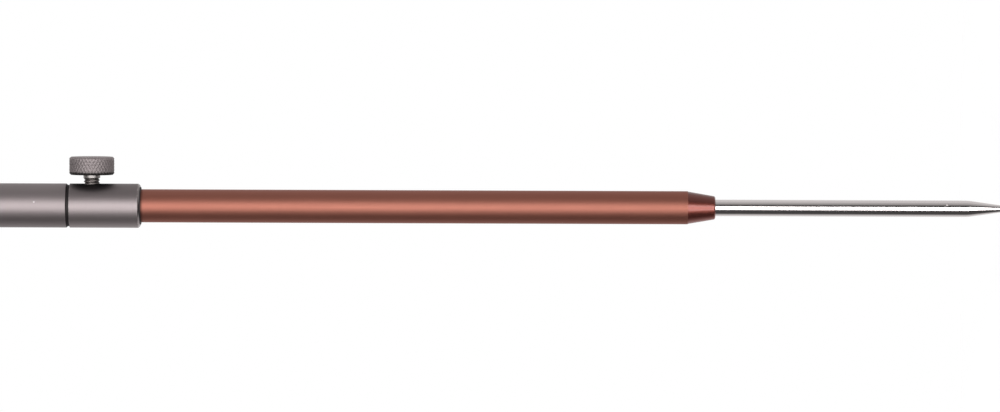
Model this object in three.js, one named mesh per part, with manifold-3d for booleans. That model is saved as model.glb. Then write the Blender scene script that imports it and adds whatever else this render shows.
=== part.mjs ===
// A telescopic bank stick for a rod rest or bite alarm. A brown inner tube with a steel ground
// spike slides inside a grey outer tube, and a knurled thumbscrew in the collar clamps the two at
// any length. Millimetres, +Z up, standing as it does in use. The origin is on the axis where the
// spike leaves the nose, which is ground level when the stick is pushed home. The thumbscrew
// points along +X.

import * as THREE from "three";
import { mergeVertices } from "three/addons/utils/BufferGeometryUtils.js";
import Module from "manifold-3d";

// Spike and nose
const SPIKE_DIAMETER = 6;
const SPIKE_SHOWN = 110.2; // from the nose down to the tip
const SPIKE_POINT = 18.6; // length of the cone ground on the spike
const SPIKE_TIP_DIAMETER = 0.6;
const SPIKE_SEAT = 20; // length pressed up into the nose
const SPIKE_CHAMFER = 0.5;
const NOSE_LENGTH = 10;
const NOSE_END_DIAMETER = 8.45;
const NOSE_STEP = 0.1; // how far the cone starts inside the tube's surface
const NOSE_CHAMFER_RADIAL = 0.75;
const NOSE_CHAMFER_AXIAL = 0.5;
const NOSE_SPIGOT = 14; // length pressed into the inner tube

// Tubes
const INNER_DIAMETER = 12;
const INNER_WALL = 1;
const INNER_LENGTH = 300;
const INNER_SHOWN = 198; // bare inner tube between the nose and the collar
const TUBE_GAP = 1; // radial room between the two tubes, which the bushes take up
const OUTER_WALL = 1;
const OUTER_LENGTH = 290;

// Plug and friction ring on the inner tube's hidden end
const PLUG_HEAD = 9;
const PLUG_STEM = 12;
const PLUG_VENT_DIAMETER = 3;
const PLUG_CLEARANCE = 0.1;
const RING_SECTION = 1.3; // thickness of the rubber ring
const RING_CLEARANCE = 0.05;
const RING_SIDE_CLEARANCE = 0.15;

// Collar and its bushes
const COLLAR_LENGTH = 25.9; // from the mouth bush's flange to the seam
const COLLAR_SPIGOT = 12; // length glued up inside the outer tube
const COLLAR_BORE_CLEARANCE = 0.2;
const MOUTH_CHAMFER_AXIAL = 0.6;
const MOUTH_CHAMFER_RADIAL = 0.55;
const MOUTH_BUSH_LENGTH = 6; // inside the collar
const MOUTH_FLANGE_DIAMETER = 13.7;
const MOUTH_FLANGE_LENGTH = 0.3;
const UPPER_BUSH_LENGTH = 5;
const BUSH_WALL = 0.5;
const BUSH_CLEARANCE = 0.08; // running clearance on the inner tube

// Head with its threaded insert for the rod rest
const HEAD_HEIGHT = 16;
const HEAD_SPIGOT = 8;
const HEAD_CHAMFER = 0.75;
const SOCKET_DIAMETER = 9.7; // 3/8 inch thread, as a plain bore at its major diameter
const SOCKET_LEAD_IN = 0.4;
const INSERT_WALL = 1.15;
const INSERT_LENGTH = 14;
const INSERT_RECESS = 0.2;

// Thumbscrew and its pad
const SCREW_DIAMETER = 5.9;
const SCREW_CLEARANCE = 0.15;
const SCREW_BELOW_SEAM = 8.35; // screw axis down from the seam between collar and outer tube
const SCREW_COUNTERSINK = 0.3;
const SHOULDER_DIAMETER = 6.1;
const SHOULDER_LENGTH = 1.3;
const STUD_PRESS_DIAMETER = 5;
const STUD_PRESS_LENGTH = 4.6; // length pressed into the knob
const KNOB_DIAMETER = 16.3;
const KNOB_THICKNESS = 6.5;
const KNOB_STANDOFF = 3.2; // gap between the knob and the collar with the screw tight
const KNOB_CHAMFER = 0.45;
const KNURL_TEETH = 42;
const KNURL_ROWS = 5; // half diamonds from the bottom of the knurl to its top
const KNURL_DEPTH = 0.25;
const PAD_THICKNESS = 0.5;
const PAD_INSET = 0.65; // pad's edge in from the screw's
const PAD_STEM_DIAMETER = 2;
const PAD_STEM_LENGTH = 2;
const PAD_CLEARANCE = 0.1; // pad to inner tube, and pad to screw

// Shared by all pieces
const PRESS_GAP = 0.05; // gap drawn between pressed or glued pieces
const EDGE_BREAK = 0.25; // small chamfer on hidden corners
const CUT_OVERRUN = 1; // how far a cutting tool runs past the wall
const SEAM_DEPTH = 0.5; // of the groove at a seam, half of which is on each piece
const SEAM_FLOOR = 0.3; // from the seam to the foot of the groove's side
const SEAM_SLOPE = 0.15; // axial, from that foot up to the surface
const SEGMENTS = 48;
const SCREW_SEGMENTS = 32;
const RING_SIDES = 8;

// Radii that several pieces share
const innerRadius = INNER_DIAMETER / 2;
const innerBore = innerRadius - INNER_WALL;
const outerBore = innerRadius + TUBE_GAP;
const outerRadius = outerBore + OUTER_WALL;
const seamRadius = outerRadius - SEAM_DEPTH;
const spigotRadius = outerBore - PRESS_GAP;
const bushBore = innerRadius + BUSH_CLEARANCE;
const bushRadius = bushBore + BUSH_WALL;
const bushSeat = bushRadius + PRESS_GAP;
const spikeRadius = SPIKE_DIAMETER / 2;
const screwRadius = SCREW_DIAMETER / 2;
const padStemRadius = PAD_STEM_DIAMETER / 2;
const studPressRadius = STUD_PRESS_DIAMETER / 2;

// Heights up the stick
const innerBottom = NOSE_LENGTH;
const innerTop = innerBottom + INNER_LENGTH;
const mouthHeight = innerBottom + INNER_SHOWN;
const collarBottom = mouthHeight + MOUTH_FLANGE_LENGTH;
const seamHeight = collarBottom + COLLAR_LENGTH;
const screwHeight = seamHeight - SCREW_BELOW_SEAM;
const collarSpigotTop = seamHeight + COLLAR_SPIGOT;
const outerTop = seamHeight + OUTER_LENGTH;
const seamReach = SEAM_FLOOR + SEAM_SLOPE;
const headTop = outerTop + HEAD_HEIGHT;
const insertTop = headTop - INSERT_RECESS;
const insertBottom = insertTop - INSERT_LENGTH;

// Distances out from the stick's axis along the thumbscrew
const padTip = innerRadius + PAD_CLEARANCE;
const padBack = padTip + PAD_THICKNESS;
const studTip = padBack + PAD_CLEARANCE;
const knobUnderside = outerRadius + KNOB_STANDOFF;

const wasm = await Module();
wasm.setup();

const finish = (color, roughness, metalness) =>
  new THREE.MeshStandardMaterial({ color, roughness, metalness });
const GREY_ANODISED = finish(0x8f8788, 0.4, 0.9);
const BROWN_ANODISED = finish(0x9c6250, 0.38, 0.9);
const BROWN_TURNED = finish(0x8f4f45, 0.22, 0.9);
const STEEL = finish(0xd0cdcb, 0.12, 1);
const BRASS = finish(0xb8923f, 0.3, 1);
const BLACK_ACETAL = finish(0x17171a, 0.5, 0);
const BLACK_RUBBER = finish(0x101010, 0.8, 0);
const WHITE_NYLON = finish(0xe6e3d8, 0.5, 0);

function mesh(name, geometry, material) {
  const made = new THREE.Mesh(geometry, material);
  made.name = name;
  return made;
}

// A piece turned round Z. Its outline is a list of [radius, height] that keeps the material on the
// left: out along the bottom, up the outside, in along the top and down the bore. An outline that
// starts on the axis also ends there, and any other is closed on itself.
function turned(outline, segments = SEGMENTS) {
  const points = outline.map(([radius, height]) => new THREE.Vector2(radius, height));
  if (outline[0][0] > 0) points.push(points[0].clone());
  return new THREE.LatheGeometry(points, segments).rotateX(Math.PI / 2);
}

function toSolid(geometry) {
  const bare = geometry.clone();
  bare.deleteAttribute("normal");
  bare.deleteAttribute("uv");
  const merged = mergeVertices(bare);
  return new wasm.Manifold(
    new wasm.Mesh({
      numProp: 3,
      vertProperties: merged.getAttribute("position").array,
      triVerts: new Uint32Array(merged.index.array),
    }),
  );
}

function toGeometry(solid) {
  const { vertProperties, triVerts } = solid.getMesh();
  const geometry = new THREE.BufferGeometry()
    .setAttribute("position", new THREE.BufferAttribute(vertProperties, 3))
    .setIndex(new THREE.BufferAttribute(triVerts, 1));
  geometry.computeVertexNormals();
  return geometry;
}

// A closed skin of stacked rings of points, with a centre point on the axis at each end. Each ring
// gives its height and the radius of any column. Each four-sided patch is split along the diagonal
// on which column and row have an even sum, so low points there join into straight grooves.
function ringedSkin(rings, columns) {
  const positions = [];
  const triangles = [];
  rings.forEach(({ height, radiusAt }) => {
    for (let column = 0; column < columns; column++) {
      const angle = (2 * Math.PI * column) / columns;
      const radius = radiusAt(column);
      positions.push(radius * Math.cos(angle), radius * Math.sin(angle), height);
    }
  });
  const last = rings.length - 1;
  positions.push(0, 0, rings[0].height, 0, 0, rings[last].height);
  const bottomCentre = rings.length * columns;
  const topCentre = bottomCentre + 1;
  for (let column = 0; column < columns; column++) {
    const next = (column + 1) % columns;
    triangles.push(bottomCentre, next, column);
    triangles.push(topCentre, last * columns + column, last * columns + next);
    for (let row = 0; row < last; row++) {
      const [a, b] = [row * columns + column, row * columns + next];
      const [c, d] = [a + columns, b + columns];
      if ((column + row) % 2 === 0) triangles.push(a, b, d, a, d, c);
      else triangles.push(a, b, c, b, d, c);
    }
  }
  const geometry = new THREE.BufferGeometry()
    .setAttribute("position", new THREE.Float32BufferAttribute(positions, 3))
    .setIndex(triangles);
  geometry.computeVertexNormals();
  return geometry;
}

// Steel rod, ground to a point below and pressed up into the nose.
function spike() {
  const tip = -SPIKE_SHOWN;
  return turned([
    [0, tip],
    [SPIKE_TIP_DIAMETER / 2, tip],
    [spikeRadius, tip + SPIKE_POINT],
    [spikeRadius, SPIKE_SEAT - SPIKE_CHAMFER],
    [spikeRadius - SPIKE_CHAMFER, SPIKE_SEAT],
    [0, SPIKE_SEAT],
  ]);
}

// Tapered nose with a blind bore for the spike and a spigot in the inner tube.
function nose() {
  const bore = spikeRadius + PRESS_GAP;
  const end = NOSE_END_DIAMETER / 2;
  const spigot = innerBore - PRESS_GAP;
  const spigotTop = innerBottom + NOSE_SPIGOT;
  return turned([
    [0, SPIKE_SEAT],
    [bore, SPIKE_SEAT],
    [bore, 0],
    [end - NOSE_CHAMFER_RADIAL, 0],
    [end, NOSE_CHAMFER_AXIAL],
    [innerRadius - NOSE_STEP, innerBottom],
    [spigot, innerBottom],
    [spigot, spigotTop - EDGE_BREAK],
    [spigot - EDGE_BREAK, spigotTop],
    [0, spigotTop],
  ]);
}

function innerTube() {
  return turned([
    [innerBore, innerBottom],
    [innerRadius, innerBottom],
    [innerRadius, innerTop - EDGE_BREAK],
    [innerRadius - EDGE_BREAK, innerTop],
    [innerBore, innerTop],
  ]);
}

// The ring lies in a groove half way up the plug's head, and rubs on the outer tube.
const ringHeight = innerTop + PLUG_HEAD / 2;
const ringCentre = outerBore - RING_CLEARANCE - RING_SECTION / 2;

// Plug in the inner tube's hidden end. Its head keeps the tube central and stops it at the collar.
function guidePlug() {
  const vent = PLUG_VENT_DIAMETER / 2;
  const stem = innerBore - PRESS_GAP;
  const stemBottom = innerTop - PLUG_STEM;
  const head = outerBore - PLUG_CLEARANCE;
  const headTopHeight = innerTop + PLUG_HEAD;
  const groove = ringCentre - RING_SECTION / 2 - RING_CLEARANCE;
  const grooveHalf = RING_SECTION / 2 + RING_SIDE_CLEARANCE;
  return turned([
    [vent, stemBottom],
    [stem - EDGE_BREAK, stemBottom],
    [stem, stemBottom + EDGE_BREAK],
    [stem, innerTop],
    [head, innerTop],
    [head, ringHeight - grooveHalf],
    [groove, ringHeight - grooveHalf],
    [groove, ringHeight + grooveHalf],
    [head, ringHeight + grooveHalf],
    [head, headTopHeight - EDGE_BREAK],
    [head - EDGE_BREAK, headTopHeight],
    [vent, headTopHeight],
  ]);
}

function frictionRing() {
  const section = Array.from({ length: RING_SIDES }, (_, side) => {
    const angle = (2 * Math.PI * side) / RING_SIDES;
    return [
      ringCentre + (RING_SECTION / 2) * Math.cos(angle),
      ringHeight + (RING_SECTION / 2) * Math.sin(angle),
    ];
  });
  return turned(section);
}

// Each end is turned down to half of the groove that is seen at its seam.
function outerTube() {
  return turned([
    [outerBore, seamHeight],
    [seamRadius, seamHeight],
    [seamRadius, seamHeight + SEAM_FLOOR],
    [outerRadius, seamHeight + seamReach],
    [outerRadius, outerTop - seamReach],
    [seamRadius, outerTop - SEAM_FLOOR],
    [seamRadius, outerTop],
    [outerBore, outerTop],
  ]);
}

// The screw's hole goes through the +X wall only.
function screwHole() {
  const radius = screwRadius + SCREW_CLEARANCE;
  const start = innerRadius - CUT_OVERRUN;
  const end = outerRadius + CUT_OVERRUN;
  const surface = Math.sqrt(outerRadius ** 2 - radius ** 2);
  return turned(
    [
      [0, start],
      [radius, start],
      [radius, surface - SCREW_COUNTERSINK],
      [radius + SCREW_COUNTERSINK + CUT_OVERRUN, surface + CUT_OVERRUN],
      [radius + SCREW_COUNTERSINK + CUT_OVERRUN, end],
      [0, end],
    ],
    SCREW_SEGMENTS,
  )
    .rotateY(Math.PI / 2)
    .translate(0, 0, screwHeight);
}

// Collar on the outer tube's end, with a seat for the mouth bush and a tapped hole for the screw.
function clampCollar() {
  const bore = innerRadius + COLLAR_BORE_CLEARANCE;
  const seatTop = collarBottom + MOUTH_BUSH_LENGTH + PRESS_GAP;
  const body = turned([
    [bushSeat, collarBottom],
    [outerRadius - MOUTH_CHAMFER_RADIAL, collarBottom],
    [outerRadius, collarBottom + MOUTH_CHAMFER_AXIAL],
    [outerRadius, seamHeight - seamReach],
    [seamRadius, seamHeight - SEAM_FLOOR],
    [seamRadius, seamHeight],
    [spigotRadius, seamHeight],
    [spigotRadius, collarSpigotTop - EDGE_BREAK],
    [spigotRadius - EDGE_BREAK, collarSpigotTop],
    [bore, collarSpigotTop],
    [bore, seatTop],
    [bushSeat, seatTop],
  ]);
  return toGeometry(toSolid(body).subtract(toSolid(screwHole())));
}

// Bush in the collar's mouth. Its flange covers the collar's end and shows as a dark ring.
function mouthBush() {
  const flange = MOUTH_FLANGE_DIAMETER / 2;
  const top = collarBottom + MOUTH_BUSH_LENGTH;
  return turned([
    [bushBore, mouthHeight],
    [flange, mouthHeight],
    [flange, collarBottom],
    [bushRadius, collarBottom],
    [bushRadius, top],
    [bushBore, top],
  ]);
}

// Bush above the collar's spigot. It is the inner tube's second bearing, and the plug stops on it.
function upperBush() {
  const top = collarSpigotTop + UPPER_BUSH_LENGTH;
  return turned([
    [bushBore, collarSpigotTop],
    [spigotRadius, collarSpigotTop],
    [spigotRadius, top],
    [bushBore, top],
  ]);
}

// Head glued into the outer tube's top, bored for the threaded insert.
function headCap() {
  const bottom = outerTop - HEAD_SPIGOT;
  const seat = SOCKET_DIAMETER / 2 + INSERT_WALL + PRESS_GAP;
  return turned([
    [0, bottom],
    [spigotRadius - EDGE_BREAK, bottom],
    [spigotRadius, bottom + EDGE_BREAK],
    [spigotRadius, outerTop],
    [seamRadius, outerTop],
    [seamRadius, outerTop + SEAM_FLOOR],
    [outerRadius, outerTop + seamReach],
    [outerRadius, headTop - HEAD_CHAMFER],
    [outerRadius - HEAD_CHAMFER, headTop],
    [seat, headTop],
    [seat, insertBottom],
    [0, insertBottom],
  ]);
}

function threadInsert() {
  const bore = SOCKET_DIAMETER / 2;
  const radius = bore + INSERT_WALL;
  return turned([
    [bore, insertBottom],
    [radius, insertBottom],
    [radius, insertTop],
    [bore + SOCKET_LEAD_IN, insertTop],
    [bore, insertTop - SOCKET_LEAD_IN],
  ]);
}

// Knob with a diamond knurl: crests and roots alternate round each ring and from ring to ring, so
// the roots join into two crossing sets of grooves and leave a pyramid at every crest.
function knurledKnob() {
  const crest = KNOB_DIAMETER / 2;
  const root = crest - KNURL_DEPTH;
  const socket = studPressRadius + PRESS_GAP;
  const socketTop = STUD_PRESS_LENGTH + PRESS_GAP;
  const knurlBottom = KNOB_CHAMFER;
  const rowHeight = (KNOB_THICKNESS - 2 * KNOB_CHAMFER) / KNURL_ROWS;
  const plain = (height, radius) => ({ height, radiusAt: () => radius });
  const rings = [plain(socketTop, socket), plain(0, socket), plain(0, root - KNOB_CHAMFER)];
  const firstKnurled = rings.length;
  for (let row = 0; row <= KNURL_ROWS; row++) {
    const height = knurlBottom + row * rowHeight;
    const edge = row === 0 || row === KNURL_ROWS;
    const isCrest = (column) => (column + row + firstKnurled) % 2 === 1;
    rings.push({ height, radiusAt: (column) => (!edge && isCrest(column) ? crest : root) });
  }
  rings.push(plain(KNOB_THICKNESS, root - KNOB_CHAMFER));
  return ringedSkin(rings, 2 * KNURL_TEETH);
}

// Stud of the thumbscrew. Its shoulder stops it in the knob, and a hole in its tip holds the pad.
function screwStud() {
  const tip = studTip - knobUnderside;
  const hole = padStemRadius + PAD_CLEARANCE;
  const holeTop = tip + PAD_STEM_LENGTH;
  const shoulder = SHOULDER_DIAMETER / 2;
  return turned(
    [
      [0, holeTop],
      [hole, holeTop],
      [hole, tip],
      [screwRadius - EDGE_BREAK, tip],
      [screwRadius, tip + EDGE_BREAK],
      [screwRadius, -SHOULDER_LENGTH],
      [shoulder, -SHOULDER_LENGTH],
      [shoulder, 0],
      [studPressRadius, 0],
      [studPressRadius, STUD_PRESS_LENGTH],
      [0, STUD_PRESS_LENGTH],
    ],
    SCREW_SEGMENTS,
  );
}

// Pad between the screw and the inner tube. It moves in and out with the screw without turning.
function clampPad() {
  const radius = screwRadius - PAD_INSET;
  return turned(
    [
      [0, padTip],
      [radius - EDGE_BREAK, padTip],
      [radius, padTip + EDGE_BREAK],
      [radius, padBack],
      [padStemRadius, padBack],
      [padStemRadius, padBack + PAD_STEM_LENGTH],
      [0, padBack + PAD_STEM_LENGTH],
    ],
    SCREW_SEGMENTS,
  );
}

function lowerStick() {
  return new THREE.Group().add(
    mesh("spike", spike(), STEEL),
    mesh("nose", nose(), BROWN_TURNED),
    mesh("inner_tube", innerTube(), BROWN_ANODISED),
    mesh("guide_plug", guidePlug(), BLACK_ACETAL),
    mesh("friction_ring", frictionRing(), BLACK_RUBBER),
  );
}

// Built along Z with its heights measured out from the stick's axis, then laid along +X.
function thumbscrew() {
  const knob = mesh("thumb_knob", knurledKnob(), GREY_ANODISED);
  const stud = mesh("screw_stud", screwStud(), STEEL);
  knob.position.z = knobUnderside;
  stud.position.z = knobUnderside;
  const group = new THREE.Group().add(knob, stud, mesh("clamp_pad", clampPad(), WHITE_NYLON));
  group.rotation.y = Math.PI / 2;
  group.position.z = screwHeight;
  return group;
}

function upperStick() {
  return new THREE.Group().add(
    mesh("outer_tube", outerTube(), GREY_ANODISED),
    mesh("clamp_collar", clampCollar(), GREY_ANODISED),
    mesh("mouth_bush", mouthBush(), BLACK_ACETAL),
    mesh("upper_bush", upperBush(), BLACK_ACETAL),
    mesh("head_cap", headCap(), GREY_ANODISED),
    mesh("thread_insert", threadInsert(), BRASS),
    thumbscrew(),
  );
}

export default new THREE.Group().add(lowerStick(), upperStick());
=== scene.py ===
"""Dresses a telescopic bank stick: two anodised tubes, a knurled thumbscrew and a ground spike.

Everything is in metres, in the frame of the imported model. The stick stands along +Z with its spike
down, and the thumbscrew points along +X. The camera looks along +Y, turned so that the stick lies
level in the picture with its spike to the right.
"""

from __future__ import annotations

import logging
import math
from dataclasses import dataclass, replace
from enum import Enum
from typing import Any, Optional, Union

import bmesh
import bpy
from mathutils import Euler, Matrix, Vector


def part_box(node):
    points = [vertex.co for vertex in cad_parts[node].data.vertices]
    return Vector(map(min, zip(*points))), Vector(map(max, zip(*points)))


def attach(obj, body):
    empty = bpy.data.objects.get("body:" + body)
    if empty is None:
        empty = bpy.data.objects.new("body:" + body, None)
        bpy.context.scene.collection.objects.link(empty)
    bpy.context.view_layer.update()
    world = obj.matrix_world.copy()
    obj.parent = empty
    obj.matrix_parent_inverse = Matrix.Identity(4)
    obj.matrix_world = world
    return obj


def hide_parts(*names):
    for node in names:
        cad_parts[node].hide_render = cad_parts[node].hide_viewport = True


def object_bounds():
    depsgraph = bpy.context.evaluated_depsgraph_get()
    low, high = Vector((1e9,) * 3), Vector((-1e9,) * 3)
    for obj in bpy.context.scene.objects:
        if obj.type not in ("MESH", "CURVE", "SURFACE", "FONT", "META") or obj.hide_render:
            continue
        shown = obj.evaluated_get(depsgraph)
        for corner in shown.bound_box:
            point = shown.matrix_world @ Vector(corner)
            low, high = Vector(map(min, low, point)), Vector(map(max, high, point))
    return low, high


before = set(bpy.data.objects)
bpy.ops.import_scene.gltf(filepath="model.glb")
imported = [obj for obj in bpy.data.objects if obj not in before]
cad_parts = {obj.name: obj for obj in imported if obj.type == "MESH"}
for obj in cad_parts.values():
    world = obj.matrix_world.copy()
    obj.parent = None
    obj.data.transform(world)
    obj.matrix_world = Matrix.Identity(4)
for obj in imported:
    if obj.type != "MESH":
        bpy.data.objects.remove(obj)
CAD_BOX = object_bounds()

MM = 0.001
FULL_TURN = 2 * math.pi
TURN_DEGREES = 360.0

Colour = tuple[float, float, float]
Settings = dict[str, Any]
Sockets = dict[Any, Any]
log = logging.getLogger("bank_stick")


class Wire:
    """One socket of a node tree, which Python's arithmetic extends with Math nodes."""

    def __init__(self, sheet: Sheet, socket: bpy.types.NodeSocket) -> None:
        """Keeps the socket and the sheet that its node is on."""
        self.sheet = sheet
        self.socket = socket

    def math(self, operation: str, *others: Value) -> Wire:
        """Adds a Math node that starts with this value.

        Args:
            operation: The Math node's operation.
            others: The values or wires of its other sockets.

        Returns:
            The node's result.
        """
        sockets = dict(enumerate((self, *others)))
        return self.sheet.wire("ShaderNodeMath", {"operation": operation}, sockets)

    def __add__(self, other: Value) -> Wire:
        """This value plus another, on either side of it."""
        return self.math("ADD", other)

    def __sub__(self, other: Value) -> Wire:
        """This value less another."""
        return self.math("SUBTRACT", other)

    def __rsub__(self, other: Value) -> Wire:
        """Another value less this one."""
        return (self * -1) + other

    def __mul__(self, other: Value) -> Wire:
        """This value times another, on either side of it."""
        return self.math("MULTIPLY", other)

    def __truediv__(self, other: Value) -> Wire:
        """This value over another."""
        return self.math("DIVIDE", other)

    __radd__ = __add__
    __rmul__ = __mul__

    def swing(self, spread: float) -> Wire:
        """Moves a value from 0 to 1, such as noise, to either side of 0.

        Args:
            spread: From the result's lowest value to its highest.

        Returns:
            The value round 0.
        """
        return (self - 0.5) * spread

    def rises(self, start: Value, end: Value) -> Wire:
        """Goes smoothly from 0 where this value is start to 1 where it is end.

        Args:
            start: The value at which the result is 0.
            end: The value at which the result is 1. It may be below start.

        Returns:
            A value from 0 to 1.
        """
        settings = {"interpolation_type": "SMOOTHSTEP", "clamp": True}
        sockets = {"Value": self, "From Min": start, "From Max": end, "To Min": 0.0, "To Max": 1.0}
        return self.sheet.wire("ShaderNodeMapRange", settings, sockets)


Value = Union[float, int, Wire]


class Sheet:
    """The node tree of one material or of the world."""

    def __init__(self, tree: bpy.types.NodeTree) -> None:
        """Takes a node tree and empties it."""
        self.tree = tree
        tree.nodes.clear()

    def node(
        self, kind: str, settings: Optional[Settings] = None, sockets: Optional[Sockets] = None
    ) -> bpy.types.Node:
        """Adds a node.

        Args:
            kind: The node's type name.
            settings: Its properties, set first.
            sockets: Values or wires for its input sockets, by name or number.

        Returns:
            The node.
        """
        made = self.tree.nodes.new(kind)
        for name, value in (settings or {}).items():
            setattr(made, name, value)
        for key, value in (sockets or {}).items():
            if isinstance(value, Wire):
                self.tree.links.new(value.socket, made.inputs[key])
            else:
                made.inputs[key].default_value = value
        return made

    def wire(
        self,
        kind: str,
        settings: Optional[Settings] = None,
        sockets: Optional[Sockets] = None,
        output: Union[int, str] = 0,
    ) -> Wire:
        """Adds a node as node() does and returns one of its outputs.

        Args:
            kind: The node's type name.
            settings: Its properties.
            sockets: Values or wires for its input sockets.
            output: The output socket, by name or number.

        Returns:
            That output.
        """
        return Wire(self, self.node(kind, settings, sockets).outputs[output])

    def combine(self, x: Value, y: Value, z: Value) -> Wire:
        """A vector of three values."""
        return self.wire("ShaderNodeCombineXYZ", None, {0: x, 1: y, 2: z})

    def distance(self, vector: Wire, point: tuple[float, ...]) -> Wire:
        """How far a vector is from a fixed point, in metres."""
        settings = {"operation": "DISTANCE"}
        return self.wire("ShaderNodeVectorMath", settings, {0: vector, 1: point}, "Value")

    def noise(self, vector: Wire, scale: float, detail: float) -> Wire:
        """Noise from 0 to 1.

        Args:
            vector: Where it is read, in metres.
            scale: Features per metre.
            detail: Finer layers on top of the first.

        Returns:
            The noise's value, 0.5 on average.
        """
        sockets = {"Vector": vector, "Scale": scale, "Detail": detail}
        return self.wire("ShaderNodeTexNoise", None, sockets)

    def blend(self, factor: Value, first: Any, second: Any) -> Wire:
        """Mixes two colours.

        Args:
            factor: 0 for the first colour and 1 for the second.
            first: A colour or a wire.
            second: A colour or a wire.

        Returns:
            The mixed colour.
        """
        first, second = (c if isinstance(c, Wire) else (*c, 1.0) for c in (first, second))
        settings = {"data_type": "RGBA"}
        return self.wire("ShaderNodeMix", settings, {0: factor, 6: first, 7: second}, output=2)

    def shade(self, colour: Any, factor: Wire) -> Wire:
        """Scales a colour by a value."""
        sockets = {0: colour, "Scale": factor}
        return self.wire("ShaderNodeVectorMath", {"operation": "SCALE"}, sockets)

    def bump(self, height: Wire, depth: float) -> Wire:
        """Turns a height into a normal.

        Args:
            height: A value from 0 to 1.
            depth: How deep 1 is above 0, in metres.

        Returns:
            The bumped normal.
        """
        sockets = {"Strength": 1.0, "Distance": depth, "Height": height}
        return self.wire("ShaderNodeBump", None, sockets)


class Axis(Enum):
    """The line that a turned piece was turned round."""

    STICK = "stick"
    SCREW = "screw"


SCREW_HEIGHT = sum(corner.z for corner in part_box("thumb_knob")) / 2
SCREW_TILT = Euler((0.0, math.pi / 2, 0.0))


@dataclass(frozen=True)
class Place:
    """Where a point of a turned piece is, as values that a pattern can follow."""

    sheet: Sheet
    point: Wire
    x: Wire
    y: Wire
    along: Wire
    radius: Wire

    DETAIL = 3.0
    FEATHER = 0.0001

    @classmethod
    def on(cls, sheet: Sheet, axis: Axis) -> Place:
        """Reads a piece's own coordinates.

        Args:
            sheet: The material's node tree.
            axis: The line that the piece is turned round.

        Returns:
            The place, with z along that line.
        """
        point = sheet.wire("ShaderNodeTexCoord", output="Object")
        if axis is Axis.SCREW:
            centre = (0.0, 0.0, SCREW_HEIGHT)
            sockets = {"Vector": point, "Location": centre, "Rotation": SCREW_TILT}
            point = sheet.wire("ShaderNodeMapping", {"vector_type": "TEXTURE"}, sockets)
        parts = sheet.node("ShaderNodeSeparateXYZ", None, {0: point})
        x, y, along = (Wire(sheet, parts.outputs[i]) for i in range(3))
        radius = (x * x + y * y).math("SQRT")
        return cls(sheet, point, x, y, along, radius)

    def drawn(self, pitch: float, run: float) -> Wire:
        """Fine lines along the piece, as drawing and polishing lengthwise leave.

        Args:
            pitch: The width of a line, in metres.
            run: The length of a line, in metres.

        Returns:
            Noise from 0 to 1.
        """
        fine = 1 / pitch
        stretched = self.sheet.combine(self.x * fine, self.y * fine, self.along / run)
        return self.sheet.noise(stretched, 1.0, self.DETAIL)

    def turned(self, pitch: float) -> Wire:
        """Fine rings round the piece, as a lathe tool leaves on its sides and its ends.

        Args:
            pitch: The width of a ring, in metres.

        Returns:
            Noise from 0 to 1.
        """
        fine = 1 / pitch
        ring = self.sheet.combine(self.radius * fine, 0.0, self.along * fine)
        return self.sheet.noise(ring, 1.0, self.DETAIL)

    def near(self, height: float, width: float) -> Wire:
        """1 at a height along the piece, falling to 0 over a width.

        Args:
            height: The height along the piece, in metres.
            width: The distance at which it has faded, in metres.

        Returns:
            A value from 0 to 1.
        """
        return (self.along - height).math("ABSOLUTE").rises(width, 0.0)

    def below(self, height: float) -> Wire:
        """1 below a height along the piece, in metres, and 0 above it."""
        return self.along.rises(height + self.FEATHER, height - self.FEATHER)

    def noise(self, per_metre: float, detail: float = DETAIL) -> Wire:
        """Cloudy noise from 0 to 1, with so many features in a metre."""
        return self.sheet.noise(self.point, per_metre, detail)

    def spot(self, nick: Nick) -> Wire:
        """1 at a nick's middle, falling to 0 at its edge."""
        return self.sheet.distance(self.point, tuple(nick.place)).rises(nick.size, 0.0)


def new_material(name: str) -> tuple[bpy.types.Material, Sheet]:
    """An empty node material.

    Args:
        name: The material's name.

    Returns:
        The material and the sheet of its nodes.
    """
    material = bpy.data.materials.new(name)
    material.use_nodes = True
    return material, Sheet(material.node_tree)


def strongest(masks: list[Wire]) -> Optional[Wire]:
    """Joins masks.

    Args:
        masks: Values from 0 to 1.

    Returns:
        The largest of them at each place, or None if there are none.
    """
    if not masks:
        return None
    total = masks[0]
    for mask in masks[1:]:
        total = total.math("MAXIMUM", mask)
    return total


class Marks(Enum):
    """How the metal was worked before it was anodised."""

    DRAWN = "drawn"
    TURNED = "turned"


@dataclass(frozen=True)
class Nick:
    """A small knock in the finish: its middle and its radius, in metres."""

    place: Vector
    size: float


@dataclass(frozen=True)
class PaintedShadow:
    """A patch of painted shadow round one point of a turned piece.

    Attributes:
        centre: Its middle, in metres.
        inner: Distance from the middle up to which it is solid, in metres.
        outer: Distance at which it has faded, in metres.
        strength: How much of the metal it hides.
        stretch: How much farther it reaches along the piece than round it.
    """

    centre: Vector
    inner: float
    outer: float
    strength: float
    stretch: float

    def on(self, place: Place) -> Wire:
        """Where it lies on a piece.

        Args:
            place: The piece's coordinates.

        Returns:
            A value from 0 to its strength.
        """
        offset = (place.along - self.centre.z) * (1 / self.stretch)
        flat = place.sheet.combine(place.x, place.y, offset)
        away = place.sheet.distance(flat, (self.centre.x, self.centre.y, 0.0))
        return away.rises(self.outer, self.inner) * self.strength


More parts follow.
